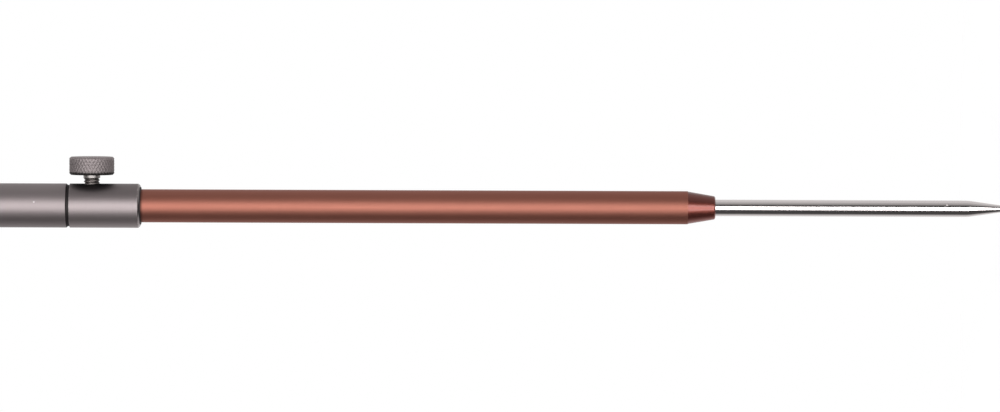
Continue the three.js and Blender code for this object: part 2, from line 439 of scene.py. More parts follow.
@dataclass(frozen=True)
class Groove:
    """A groove round a piece, painted dark inside as painted shade.

    Attributes:
        height: The height of its middle, in metres.
        half_width: From its middle to its edge, in metres.
        surface: The radius of the surface beside it, in metres.
    """

    height: float
    half_width: float
    surface: float

    SHALLOW = 0.00002
    DEEP = 0.00012
    COVER = 0.92

    def on(self, place: Place) -> Wire:
        """Where its painted shade lies on a piece, which is below the surface.

        Args:
            place: The piece's coordinates.

        Returns:
            A value from 0 to its cover.
        """
        off = (place.along - self.height).math("ABSOLUTE")
        across = off.rises(self.half_width + place.FEATHER, self.half_width)
        sunk = place.radius.rises(self.surface - self.SHALLOW, self.surface - self.DEEP)
        return across * sunk * self.COVER


class Finish:
    """What a piece is made of, as a material that follows the piece's own coordinates."""

    name: str
    axis: Axis = Axis.STICK

    # A near-black, barely glossy layer that stands for painted shade.
    SHADE_FILM = {
        "Base Color": (0.006, 0.005, 0.005, 1.0),
        "Roughness": 0.7,
        "Specular IOR Level": 0.12,
    }

    def material(self) -> bpy.types.Material:
        """Builds the finish as a Principled shader, under a near-black layer of painted shade where
        it has any.

        Returns:
            The material.
        """
        material, sheet = new_material(self.name)
        place = Place.on(sheet, self.axis)
        surface = sheet.wire("ShaderNodeBsdfPrincipled", None, self.sockets(place))
        painted_shade = self.painted_shade(place)
        if painted_shade is not None:
            # Painted shade: the near-black layer is mixed over the surface where the mask says.
            shade_layer = sheet.wire("ShaderNodeBsdfPrincipled", None, self.SHADE_FILM)
            surface = sheet.wire("ShaderNodeMixShader", None, {0: painted_shade, 1: surface, 2: shade_layer})
        sheet.node("ShaderNodeOutputMaterial", None, {"Surface": surface})
        return material

    def sockets(self, place: Place) -> Sockets:
        """What goes into the Principled shader.

        Args:
            place: The piece's coordinates.

        Returns:
            Values or wires, by the names of the shader's sockets.
        """
        raise NotImplementedError

    def painted_shade(self, place: Place) -> Optional[Wire]:
        """Where painted shade hides the surface, from 0 to 1, or None if the piece has none."""
        return None


@dataclass(frozen=True)
class Anodised(Finish):
    """Dyed and sealed aluminium.

    Attributes:
        name: The material's name.
        dye: The colour that it reflects, face on.
        roughness: The shader's roughness.
        marks: How the metal was worked.
        worn: Heights, in metres, of the corners that handling has rubbed.
        rub: How strongly the sliding fit has polished faint lines along the tube.
        nick: A small knock, if it has one.
        rub_or_painted_light: How much darker its dye is painted towards the thumbscrew, and lighter
            on the far side: painted shade and painted light.
        faced: Height, in metres, below which a sharp tool has left it smoother, if it has one.
        painted_shadow: Painted shadow round one point, if it has any.
        grooves: Its grooves, painted dark inside as painted shade.
        shadow_ring_height: Height, in metres, of a ring of painted shadow where the tube goes into a
            bush, if it has one.
        gloss: How much clear glossy seal lies over the dye.
    """

    name: str
    dye: Colour
    roughness: float
    marks: Marks
    worn: tuple[float, ...] = ()
    rub: float = 0.0
    nick: Optional[Nick] = None
    rub_or_painted_light: float = 0.0
    faced: Optional[float] = None
    painted_shadow: Optional[PaintedShadow] = None
    grooves: tuple[Groove, ...] = ()
    shadow_ring_height: Optional[float] = None
    gloss: float = 0.0

    BARE = (0.62, 0.6, 0.58)
    ETCH = 0.00009
    LINE = 0.00022
    LINE_RUN = 0.03
    CLOUD = 0.012
    LINE_TONE = 0.08
    CLOUD_TONE = 0.06
    LINE_ROUGHNESS = 0.04
    CLOUD_ROUGHNESS = 0.05
    SCUFF = 0.0009
    SCUFF_RUN = 0.09
    SCUFF_LEVELS = (0.6, 0.75)
    FACED_SMOOTHER = 0.28
    ETCH_SHARE = 0.4
    RELIEF = 0.000003
    NICK_DEPTH = 12
    NICK_BARE = 0.8
    PATCHES_PER_METRE = 1400.0
    PATCH_LEVELS = (0.45, 0.7)
    CORNER = 0.0003
    CORNER_BARE = 0.55
    # Width and cover of the ring of painted shadow.
    SHADOW_RING_WIDTH = 0.0011
    SHADOW_RING_COVER = 0.6
    COAT = {"Coat Roughness": 0.2, "Coat IOR": 1.56}

    def sockets(self, place: Place) -> Sockets:
        """The dye, worn here and there, over the marks of the metal under it.

        Args:
            place: The piece's coordinates.

        Returns:
            Values or wires, by the names of the shader's sockets.
        """
        sheet = place.sheet
        drawn = self.marks is Marks.DRAWN
        lines = place.drawn(self.LINE, self.LINE_RUN) if drawn else place.turned(self.LINE)
        etch = place.noise(1 / self.ETCH, detail=1.0)
        cloud = place.noise(1 / self.CLOUD)
        tone = 1 + lines.swing(self.LINE_TONE) + cloud.swing(self.CLOUD_TONE)
        # Painted shade and light: darker towards the thumbscrew, lighter on the far side.
        if self.rub_or_painted_light:
            tone = tone - place.x / place.radius * self.rub_or_painted_light
        colour = sheet.shade(self.dye, tone)
        wear = self._wear(place)
        if wear is not None:
            colour = sheet.blend(wear, colour, self.BARE)
        roughness = self.roughness + cloud.swing(self.CLOUD_ROUGHNESS)
        roughness = roughness + lines.swing(self.LINE_ROUGHNESS)
        if self.rub:
            scuffs = place.drawn(self.SCUFF, self.SCUFF_RUN).rises(*self.SCUFF_LEVELS)
            roughness = roughness - scuffs * self.rub
        if self.faced is not None:
            cut = place.along.rises(self.faced + place.FEATHER, self.faced)
            roughness = roughness - cut * self.FACED_SMOOTHER
        height = lines * (1 - self.ETCH_SHARE) + etch * self.ETCH_SHARE
        if self.nick is not None:
            height = height - place.spot(self.nick) * self.NICK_DEPTH
        return {
            "Base Color": colour,
            "Metallic": 1.0,
            "Roughness": roughness,
            "Coat Weight": self.gloss,
            "Normal": sheet.bump(height, self.RELIEF),
            **self.COAT,
        }

    def painted_shade(self, place: Place) -> Optional[Wire]:
        """Where shade is painted: in its grooves, round one point and in a ring by a bush.

        Args:
            place: The piece's coordinates.

        Returns:
            A value from 0 to 1, or None if it has none of these.
        """
        masks = [groove.on(place) for groove in self.grooves]
        if self.painted_shadow is not None:
            masks.append(self.painted_shadow.on(place))
        if self.shadow_ring_height is not None:
            masks.append(place.near(self.shadow_ring_height, self.SHADOW_RING_WIDTH) * self.SHADOW_RING_COVER)
        return strongest(masks)

    def _wear(self, place: Place) -> Optional[Wire]:
        """Where the dye is rubbed thin: in patches at corners, and at a nick.

        Args:
            place: The piece's coordinates.

        Returns:
            A value from 0 to 1, or None if it is unworn.
        """
        patches = place.noise(self.PATCHES_PER_METRE).rises(*self.PATCH_LEVELS)
        masks = [place.near(z, self.CORNER) * patches * self.CORNER_BARE for z in self.worn]
        if self.nick is not None:
            masks.append(place.spot(self.nick) * self.NICK_BARE)
        return strongest(masks)


@dataclass(frozen=True)
class KnurledAnodised(Finish):
    """The knob's dyed aluminium, with a painted highlight along its far face and painted shade along
    the edge by the collar and in the knurl's roots.

    Attributes:
        name: The material's name.
        dye: The colour that it reflects, face on.
        crest: The radius of the knurl's crests, in metres.
        root: The radius of its roots, in metres.
        bottom: Distance from the stick's axis, in metres, at which the knob starts.
        top: The same for its far face, along which a painted highlight runs.
    """

    name: str
    dye: Colour
    crest: float
    root: float
    bottom: float
    top: float

    axis = Axis.SCREW
    GRAINS_PER_METRE = 3000.0
    RUBBED_LEVELS = (0.35, 0.75)
    RING = 0.00012
    RING_TONE = 0.1
    RING_SHARE = 0.5
    RELIEF = 0.000004
    ROUGHNESS = 0.62
    GRAIN_ROUGHNESS = 0.1
    LIGHTER_FROM_TOP = (0.0014, 0.0002)
    DARKER_FROM_BOTTOM = (0.00135, 0.0007)
    ROOT_TONE = 0.89
    CREST_LIGHTER = 0.06
    PAINTED_TOP_LIGHTER = 0.36
    PAINTED_EDGE_DARKER = 0.75
    CREST_BARE = 0.1

    def sockets(self, place: Place) -> Sockets:
        """The dye, bare in places on the crests, under painted light and shade.

        Args:
            place: The piece's coordinates.

        Returns:
            Values or wires, by the names of the shader's sockets.
        """
        sheet = place.sheet
        depth = place.radius.rises(self.root, self.crest)
        grain = place.noise(self.GRAINS_PER_METRE)
        rubbed = depth * grain.rises(*self.RUBBED_LEVELS)
        rings = place.turned(self.RING)
        # Painted highlight along the far face, painted shade along the edge by the collar, and roots
        # painted a little darker than the crests as painted shade.
        rub_or_painted_light = place.along.rises(*(self.top - off for off in self.LIGHTER_FROM_TOP))
        painted_edge_shade = place.along.rises(*(self.bottom + off for off in self.DARKER_FROM_BOTTOM))
        tone = self.ROOT_TONE + depth * self.CREST_LIGHTER + rub_or_painted_light * self.PAINTED_TOP_LIGHTER
        tone = tone - painted_edge_shade * self.PAINTED_EDGE_DARKER + rings.swing(self.RING_TONE)
        dyed = sheet.shade(self.dye, tone)
        height = rings * self.RING_SHARE + grain * (1 - self.RING_SHARE)
        return {
            "Base Color": sheet.blend(rubbed * self.CREST_BARE, dyed, Anodised.BARE),
            "Metallic": 1.0,
            "Roughness": self.ROUGHNESS + grain.swing(self.GRAIN_ROUGHNESS),
            "Normal": sheet.bump(height, self.RELIEF),
        }


@dataclass(frozen=True)
class BrightSteel(Finish):
    """Steel, ground and polished along its length, with rings round its ground point.

    Attributes:
        name: The material's name.
        tone: The colour that it reflects, face on.
        roughness: The shader's roughness.
        point_top: Height, in metres, below which the point's rings take over.
        nick: A small knock.
    """

    name: str
    tone: Colour
    roughness: float
    point_top: float
    nick: Nick

    RING = 0.00015
    LINE = 0.00025
    LINE_RUN = 0.05
    CLOUDS_PER_METRE = 180.0
    CLOUD_TONE = 0.06
    LINE_TONE = 0.04
    LINE_ROUGHNESS = 0.04
    CLOUD_ROUGHNESS = 0.03
    NICK_ROUGHER = 0.6
    NICK_DEPTH = 20
    RELIEF = 0.0000004

    def sockets(self, place: Place) -> Sockets:
        """The polish with its fine lines, and a nick that scatters light.

        Args:
            place: The piece's coordinates.

        Returns:
            Values or wires, by the names of the shader's sockets.
        """
        sheet = place.sheet
        rings = place.turned(self.RING)
        lines = place.drawn(self.LINE, self.LINE_RUN)
        on_point = place.below(self.point_top)
        lines = lines + (rings - lines) * on_point
        cloud = place.noise(self.CLOUDS_PER_METRE)
        tone = 1 + cloud.swing(self.CLOUD_TONE) + lines.swing(self.LINE_TONE)
        roughness = self.roughness + lines.swing(self.LINE_ROUGHNESS)
        dent = place.spot(self.nick)
        rougher = cloud.swing(self.CLOUD_ROUGHNESS) + dent * self.NICK_ROUGHER
        return {
            "Base Color": sheet.shade(self.tone, tone),
            "Metallic": 1.0,
            "Roughness": roughness + rougher,
            "Normal": sheet.bump(lines - dent * self.NICK_DEPTH, self.RELIEF),
        }


@dataclass(frozen=True)
class ThreadedSteel(Finish):
    """The stud's steel: a bright shoulder, and a rougher thread whose darker tone and dark roots are
    painted shade.

    Attributes:
        name: The material's name.
        shoulder: Distance from the stick's axis, in metres, at which the shoulder starts.
        root: The radius of the thread's roots, in metres.
        crest: The radius of the thread's crests, in metres.
    """

    name: str
    shoulder: float
    root: float
    crest: float

    axis = Axis.SCREW
    BRIGHT = (0.35, 0.325, 0.315)
    DULL_AND_SHADED = (0.3, 0.27, 0.26)
    RING = 0.00012
    GRIME_PER_METRE = 2500.0
    ROOT_DARKER = 0.65
    GRIME_TONE = 0.3
    RING_TONE = 0.1
    ROUGHNESS = 0.42
    THREAD_ROUGHER = 0.04
    GRIME_ROUGHNESS = 0.08
    RELIEF = 0.000002

    def sockets(self, place: Place) -> Sockets:
        """The shoulder's steel and the thread's, told apart by where they are.

        Args:
            place: The piece's coordinates.

        Returns:
            Values or wires, by the names of the shader's sockets.
        """
        sheet = place.sheet
        rings = place.turned(self.RING)
        grime = place.noise(self.GRIME_PER_METRE)
        threaded = place.below(self.shoulder)
        # The thread's darker steel and its darker roots are painted shade; its extra roughness is
        # its own finish.
        depth = place.radius.rises(self.crest, self.root)
        dull = sheet.shade(self.DULL_AND_SHADED, 1 - depth * self.ROOT_DARKER + grime.swing(self.GRIME_TONE))
        bright = sheet.shade(self.BRIGHT, 1 + rings.swing(self.RING_TONE))
        rougher = threaded * self.THREAD_ROUGHER + grime.swing(self.GRIME_ROUGHNESS)
        return {
            "Base Color": sheet.blend(threaded, bright, dull),
            "Metallic": 1.0,
            "Roughness": self.ROUGHNESS + rougher,
            "Normal": sheet.bump(rings, self.RELIEF),
        }


@dataclass(frozen=True)
class TurnedBrass(Finish):
    """Turned brass, a little tarnished away from where studs rub it.

    Attributes:
        name: The material's name.
        rubbed_radius: The radius, in metres, within which studs rub it.
    """

    name: str
    rubbed_radius: float

    BRIGHT = (0.78, 0.58, 0.25)
    TARNISHED = (0.42, 0.28, 0.12)
    RING = 0.00014
    CLOUDS_PER_METRE = 500.0
    CLOUD_DETAIL = 4.0
    TARNISH_LEVELS = (0.35, 0.7)
    RUBBED_REACH = 1.2
    RUBBED_CLEAN = 0.6
    TARNISH = 0.6
    ROUGHNESS = 0.24
    TARNISH_ROUGHER = 0.2
    RELIEF = 0.000004

    def sockets(self, place: Place) -> Sockets:
        """Bright brass under patches of tarnish.

        Args:
            place: The piece's coordinates.

        Returns:
            Values or wires, by the names of the shader's sockets.
        """
        sheet = place.sheet
        rings = place.turned(self.RING)
        cloud = place.noise(self.CLOUDS_PER_METRE, self.CLOUD_DETAIL)
        rub_or_painted_light = place.radius.rises(self.rubbed_radius * self.RUBBED_REACH, self.rubbed_radius)
        dull = cloud.rises(*self.TARNISH_LEVELS) * (1 - rub_or_painted_light * self.RUBBED_CLEAN)
        return {
            "Base Color": sheet.blend(dull * self.TARNISH, self.BRIGHT, self.TARNISHED),
            "Metallic": 1.0,
            "Roughness": self.ROUGHNESS + dull * self.TARNISH_ROUGHER,
            "Normal": sheet.bump(rings, self.RELIEF),
        }


@dataclass(frozen=True)
class TurnedPlastic(Finish):
    """Plastic or rubber with the fine rings of its turning or its mould.

    Attributes:
        name: The material's name.
        colour: Its colour.
        roughness: The shader's roughness.
        axis: The line that the piece was turned round.
    """

    name: str
    colour: Colour
    roughness: float
    axis: Axis = Axis.STICK

    RING = 0.0002
    CLOUDS_PER_METRE = 900.0
    CLOUD_TONE = 0.2
    CLOUD_ROUGHNESS = 0.12
    RING_SHARE = 0.6
    RELIEF = 0.000005

    def sockets(self, place: Place) -> Sockets:
        """An even colour with a fine turned grain.

        Args:
            place: The piece's coordinates.

        Returns:
            Values or wires, by the names of the shader's sockets.
        """
        sheet = place.sheet
        rings = place.turned(self.RING)
        cloud = place.noise(self.CLOUDS_PER_METRE)
        height = rings * self.RING_SHARE + cloud * (1 - self.RING_SHARE)
        return {
            "Base Color": sheet.shade(self.colour, 1 + cloud.swing(self.CLOUD_TONE)),
            "Roughness": self.roughness + cloud.swing(self.CLOUD_ROUGHNESS),
            "Normal": sheet.bump(height, self.RELIEF),
        }


@dataclass(frozen=True)
class Corner:
    """One corner of the outline that a piece is turned from.

    Attributes:
        radius: Distance from the axis, in metres.
        height: Distance along the axis, in metres.
        rounding: How far from the corner its rounding starts, in metres.
    """

    radius: float
    height: float
    rounding: float = 0.0


@dataclass(frozen=True)
class Extent:
    """What a CAD node takes up along its axis, and its outer radius, in metres."""

    bottom: float
    top: float
    radius: float

    @classmethod
    def of(cls, node: str, axis: Axis = Axis.STICK) -> Extent:
        """Reads a node's box.

        Args:
            node: The CAD node's name.
            axis: The line that the node lies along.

        Returns:
            Its extent.
        """
        low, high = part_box(node)
        if axis is Axis.SCREW:
            return cls(low.x, high.x, high.y)
        return cls(low.z, high.z, high.y)


STICK_SEGMENTS = 160
SCREW_SEGMENTS = 96


class Lathe:
    """Makes closed meshes by turning outlines round Z."""

    TOLERANCE = 1e-7
    HOLD = 0.00012
    HOLDS_PER_EDGE = 4
    SHARP = math.radians(33)
    ROUND_STEPS = 5

    @classmethod
    def turn(cls, outline: list[Corner], segments: int = STICK_SEGMENTS) -> bmesh.types.BMesh:
        """Turns an outline into a closed mesh.

        Args:
            outline: Its corners, in order round the section.
            segments: Faces in a full turn.

        Returns:
            The mesh.
        """
        mesh = cls._section(outline)
        cls._hold_edges(mesh)
        cls.spin(mesh, segments)
        return cls.cleaned(mesh)

    @classmethod
    def spin(cls, mesh: bmesh.types.BMesh, steps: int, turns: int = 1, climb: float = 0.0) -> None:
        """Sweeps a section round Z.

        Args:
            mesh: The section, changed in place.
            steps: Faces in a full turn.
            turns: How many turns it makes.
            climb: How far each step rises, in metres, or 0 for a closed ring.
        """
        bmesh.ops.spin(
            mesh,
            geom=mesh.verts[:] + mesh.edges[:],
            cent=(0.0, 0.0, 0.0),
            axis=(0.0, 0.0, 1.0),
            dvec=(0.0, 0.0, climb),
            angle=FULL_TURN * turns,
            steps=steps * turns,
            use_merge=not climb,
        )
        bmesh.ops.remove_doubles(mesh, verts=mesh.verts[:], dist=cls.TOLERANCE)

    @classmethod
    def _section(cls, outline: list[Corner]) -> bmesh.types.BMesh:
        """Draws the outline with its rounded corners, open where it lies on the axis.

        Args:
            outline: The section's corners.

        Returns:
            A mesh of edges only.
        """
        mesh = bmesh.new()
        corners = [mesh.verts.new((c.radius, 0.0, c.height)) for c in outline]
        mesh.faces.new(corners)
        for rounding in sorted({c.rounding for c in outline if c.rounding}):
            chosen = [v for v, c in zip(corners, outline) if c.rounding == rounding]
            bmesh.ops.bevel(
                mesh,
                geom=chosen,
                offset=rounding,
                offset_type="OFFSET",
                affect="VERTICES",
                segments=cls.ROUND_STEPS,
                profile=0.5,
                material=-1,
            )
        bmesh.ops.delete(mesh, geom=mesh.faces[:], context="FACES_ONLY")
        on_axis = [e for e in mesh.edges if all(v.co.x < cls.TOLERANCE for v in e.verts)]
        bmesh.ops.delete(mesh, geom=on_axis, context="EDGES")
        return mesh

    @classmethod
    def _hold_edges(cls, mesh: bmesh.types.BMesh) -> None:
        """Splits each long edge close to its ends, so that smooth shading stays in the corners.

        Args:
            mesh: The section.
        """
        for edge in [e for e in mesh.edges if e.calc_length() > cls.HOLDS_PER_EDGE * cls.HOLD]:
            start, end = edge.verts
            bmesh.utils.edge_split(edge, start, cls.HOLD / edge.calc_length())
            bmesh.utils.edge_split(edge, end, cls.HOLD / edge.calc_length())

    @classmethod
    def cleaned(cls, mesh: bmesh.types.BMesh) -> bmesh.types.BMesh:
        """Merges doubles, turns the faces outwards and marks which edges are sharp.

        Args:
            mesh: The mesh, changed in place.

        Returns:
            The same mesh.
        """
        bmesh.ops.remove_doubles(mesh, verts=mesh.verts[:], dist=cls.TOLERANCE)
        bmesh.ops.recalc_face_normals(mesh, faces=mesh.faces[:])
        for face in mesh.faces:
            face.smooth = True
        for edge in mesh.edges:
            edge.smooth = edge.calc_face_angle(0.0) < cls.SHARP
        return mesh


@dataclass(frozen=True)
class Thread:
    """A right-hand screw thread round Z.

    Attributes:
        major: Radius of its crests, in metres.
        pitch: Distance from crest to crest, in metres.
        depth: Depth of its grooves, in metres.
        flat_share: Share of the pitch that each flat crest and each flat root takes.
    """

    major: float
    pitch: float
    depth: float
    flat_share: float = 0.16

    STEPS = 72

    def between(self, bottom: float, top: float) -> bmesh.types.BMesh:
        """Makes a solid screw.

        It is made at the origin and raised, because rounding keeps its turns apart far from there.

        Args:
            bottom: Height of its lower end, in metres.
            top: Height of its upper end, in metres.

        Returns:
            The closed mesh.
        """
        mesh = bmesh.new()
        minor = self.major - self.depth
        flat = self.flat_share * self.pitch
        slope = self.pitch / 2 - flat
        length = top - bottom
        outline = (
            (minor, 0.0),
            (minor, flat),
            (self.major, flat + slope),
            (self.major, 2 * flat + slope),
            (minor, self.pitch),
        )
        points = [mesh.verts.new((radius, 0.0, rise - self.pitch)) for radius, rise in outline]
        for lower, upper in zip(points, points[1:]):
            mesh.edges.new((lower, upper))
        turns = math.ceil(length / self.pitch) + 2
        Lathe.spin(mesh, self.STEPS, turns, self.pitch / self.STEPS)
        self._cut_off(mesh, 0.0, below=True)
        self._cut_off(mesh, length, below=False)
        Lathe.cleaned(mesh)
        bmesh.ops.translate(mesh, vec=(0.0, 0.0, bottom), verts=mesh.verts[:])
        return mesh

    @staticmethod
    def _cut_off(mesh: bmesh.types.BMesh, height: float, below: bool) -> None:
        """Cuts the screw square at a height and closes it there.

        Args:
            mesh: The screw.
            height: Where it is cut, in metres.
            below: True to drop what is below the cut, and False what is above.
        """
        cut = bmesh.ops.bisect_plane(
            mesh,
            geom=mesh.verts[:] + mesh.edges[:] + mesh.faces[:],
            plane_co=(0.0, 0.0, height),
            plane_no=(0.0, 0.0, 1.0),
            clear_inner=below,
            clear_outer=not below,
        )
        rim = [e for e in cut["geom_cut"] if isinstance(e, bmesh.types.BMEdge)]
        bmesh.ops.holes_fill(mesh, edges=rim, sides=0)


SCREW_THREAD = Thread(major=2.9 * MM, pitch=1.0 * MM, depth=0.45 * MM, flat_share=0.1)


class Bench:
    """Turns meshes into pieces of the scene."""

    TO_SCREW = Matrix.Translation((0.0, 0.0, SCREW_HEIGHT)) @ SCREW_TILT.to_matrix().to_4x4()

    @classmethod
    def piece(cls, name: str, mesh: bmesh.types.BMesh, axis: Axis = Axis.STICK) -> bpy.types.Object:
        """Makes an object of a mesh, with its place in its mesh.

        Args:
            name: The object's name.
            mesh: Its mesh, which is used up.
            axis: The line that the mesh, made round Z, is laid along.

        Returns:
            The object, linked to the scene.
        """
        if axis is Axis.SCREW:
            bmesh.ops.transform(mesh, matrix=cls.TO_SCREW, verts=mesh.verts[:])
        data = bpy.data.meshes.new(name)
        mesh.to_mesh(data)
        mesh.free()
        made = bpy.data.objects.new(name, data)
        bpy.context.scene.collection.objects.link(made)
        return made

    @staticmethod
    def cut(blank: bpy.types.Object, tool: bpy.types.Object) -> None:
        """Cuts one piece with another, which is used up.

        Args:
            blank: The piece that is cut.
            tool: The shape that is taken out of it.
        """
        modifier = blank.modifiers.new("cut", "BOOLEAN")
        modifier.operation = "DIFFERENCE"
        modifier.solver = "EXACT"
        modifier.object = tool
        graph = bpy.context.evaluated_depsgraph_get()
        cut = bpy.data.meshes.new_from_object(blank.evaluated_get(graph))
        blank.modifiers.clear()
        blank.data = cut
        spent = tool.data
        bpy.data.objects.remove(tool)
        bpy.data.meshes.remove(spent)
        mesh = bmesh.new()
        mesh.from_mesh(cut)
        Lathe.cleaned(mesh)
        mesh.to_mesh(cut)
        mesh.free()

    @staticmethod
    def fit(piece: bpy.types.Object, body: str, slot: str, finish: Finish, node: str) -> None:
        """Gives a piece its finish and its body.

        Args:
            piece: The finished piece.
            body: The CAD body that it rides on.
            slot: The record's material slot. It is not used.
            finish: What it is made of.
            node: The CAD node that it stands for.
        """
        piece.data.materials.clear()
        piece.data.materials.append(finish.material())
        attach(piece, body)
        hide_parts(node)
        log.info("%s: %d faces on %s", piece.name, len(piece.data.polygons), body)

    @staticmethod
    def dress(node: str, finish: Finish) -> None:
        """Gives a CAD node that stays in the scene its finish.

        Args:
            node: The node's name.
            finish: What it is made of.
        """
        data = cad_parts[node].data
        data.materials.clear()
        data.materials.append(finish.material())
        log.info("%s: dressed as it is", node)


GREY_DYE = (0.265, 0.23, 0.232)
BROWN_DYE = (0.314, 0.123, 0.091)
BROWN_TURNED_DYE = (0.216, 0.056, 0.041)
STEEL = (0.77, 0.715, 0.71)
BLACK = (0.02, 0.02, 0.022)
MOUTH_BLACK = (0.01, 0.01, 0.011)
RUBBER_BLACK = (0.012, 0.012, 0.012)
NATURAL_NYLON = (0.75, 0.73, 0.66)


@dataclass(frozen=True)
class LowerStick:
    """The inner tube with its nose and its ground spike."""

    body: str = "lower_stick"
    wall: float = 1 * MM
    fillet: float = 0.12 * MM
    point_length: float = 18.6 * MM
    point_blend: float = 1.2 * MM
    tip_radius: float = 0.3 * MM
    tip_rounding: float = 0.2 * MM
    nose_end_radius: float = 4.225 * MM
    nose_step: float = 0.1 * MM
    nose_chamfer_radial: float = 0.55 * MM
    nose_chamfer_axial: float = 0.3 * MM
    spike_clearance: float = 0.01 * MM
    spike_knock: Nick = Nick(Vector((0.00141, -0.00265, -0.0838)), 0.7 * MM)

    def build(self) -> None:
        """Makes and dresses every piece of the lower stick."""
        self._spike()
        self._nose()
        self._tube()
        Bench.dress("guide_plug", TurnedPlastic("black_acetal_guide", BLACK, roughness=0.45))
        rubber = TurnedPlastic("ring_rubber", RUBBER_BLACK, roughness=0.75)
        Bench.dress("friction_ring", rubber)

    def _spike(self) -> None:
        """Turns the ground spike, with the grinding's soft start of its point."""
        size = Extent.of("spike")
        point_top = size.bottom + self.point_length
        outline = [
            Corner(0.0, size.bottom),
            Corner(self.tip_radius, size.bottom, self.tip_rounding),
            Corner(size.radius, point_top, self.point_blend),
            Corner(size.radius, size.top - self.fillet),
            Corner(0.0, size.top - self.fillet),
        ]
        spike = Bench.piece("ground_spike", Lathe.turn(outline))
        finish = BrightSteel(
            "polished_steel",
            STEEL,
            roughness=0.16,
            point_top=point_top,
            nick=self.spike_knock,
        )
        Bench.fit(spike, self.body, "spike_steel", finish, "spike")

    def _nose(self) -> None:
        """Turns the cone that holds the spike."""
        size = Extent.of("nose")
        tube = Extent.of("inner_tube")
        spike = Extent.of("spike")
        bore = spike.radius + self.spike_clearance
        shank = tube.radius - self.wall
        outline = [
            Corner(bore, 0.0),
            Corner(self.nose_end_radius - self.nose_chamfer_radial, 0.0, self.fillet),
            Corner(self.nose_end_radius, self.nose_chamfer_axial, 2 * self.fillet),
            Corner(tube.radius - self.nose_step, tube.bottom),
            Corner(shank, tube.bottom),
            Corner(shank, size.top),
            Corner(bore, size.top),
        ]
        nose = Bench.piece("turned_nose", Lathe.turn(outline))
        finish = Anodised(
            "brown_turned_anodising",
            BROWN_TURNED_DYE,
            roughness=0.42,
            marks=Marks.TURNED,
            # Painted shade towards the thumbscrew, painted light on the far side.
            rub_or_painted_light=0.28,
            gloss=0.65,
        )
        Bench.fit(nose, self.body, "brown_turned", finish, "nose")

    def _tube(self) -> None:
        """Draws the inner tube."""
        size = Extent.of("inner_tube")
        bore = size.radius - self.wall
        outline = [
            Corner(bore, size.bottom),
            Corner(size.radius, size.bottom, self.fillet / 2),
            Corner(size.radius, size.top, self.fillet),
            Corner(bore, size.top),
        ]
        tube = Bench.piece("brown_inner_tube", Lathe.turn(outline))
        finish = Anodised(
            "brown_anodising",
            BROWN_DYE,
            roughness=0.55,
            marks=Marks.DRAWN,
            rub=0.05,
            # A ring of painted shadow on the tube where it goes into the collar's mouth.
            shadow_ring_height=Extent.of("mouth_bush").bottom,
        )
        Bench.fit(tube, self.body, "brown_tube", finish, "inner_tube")


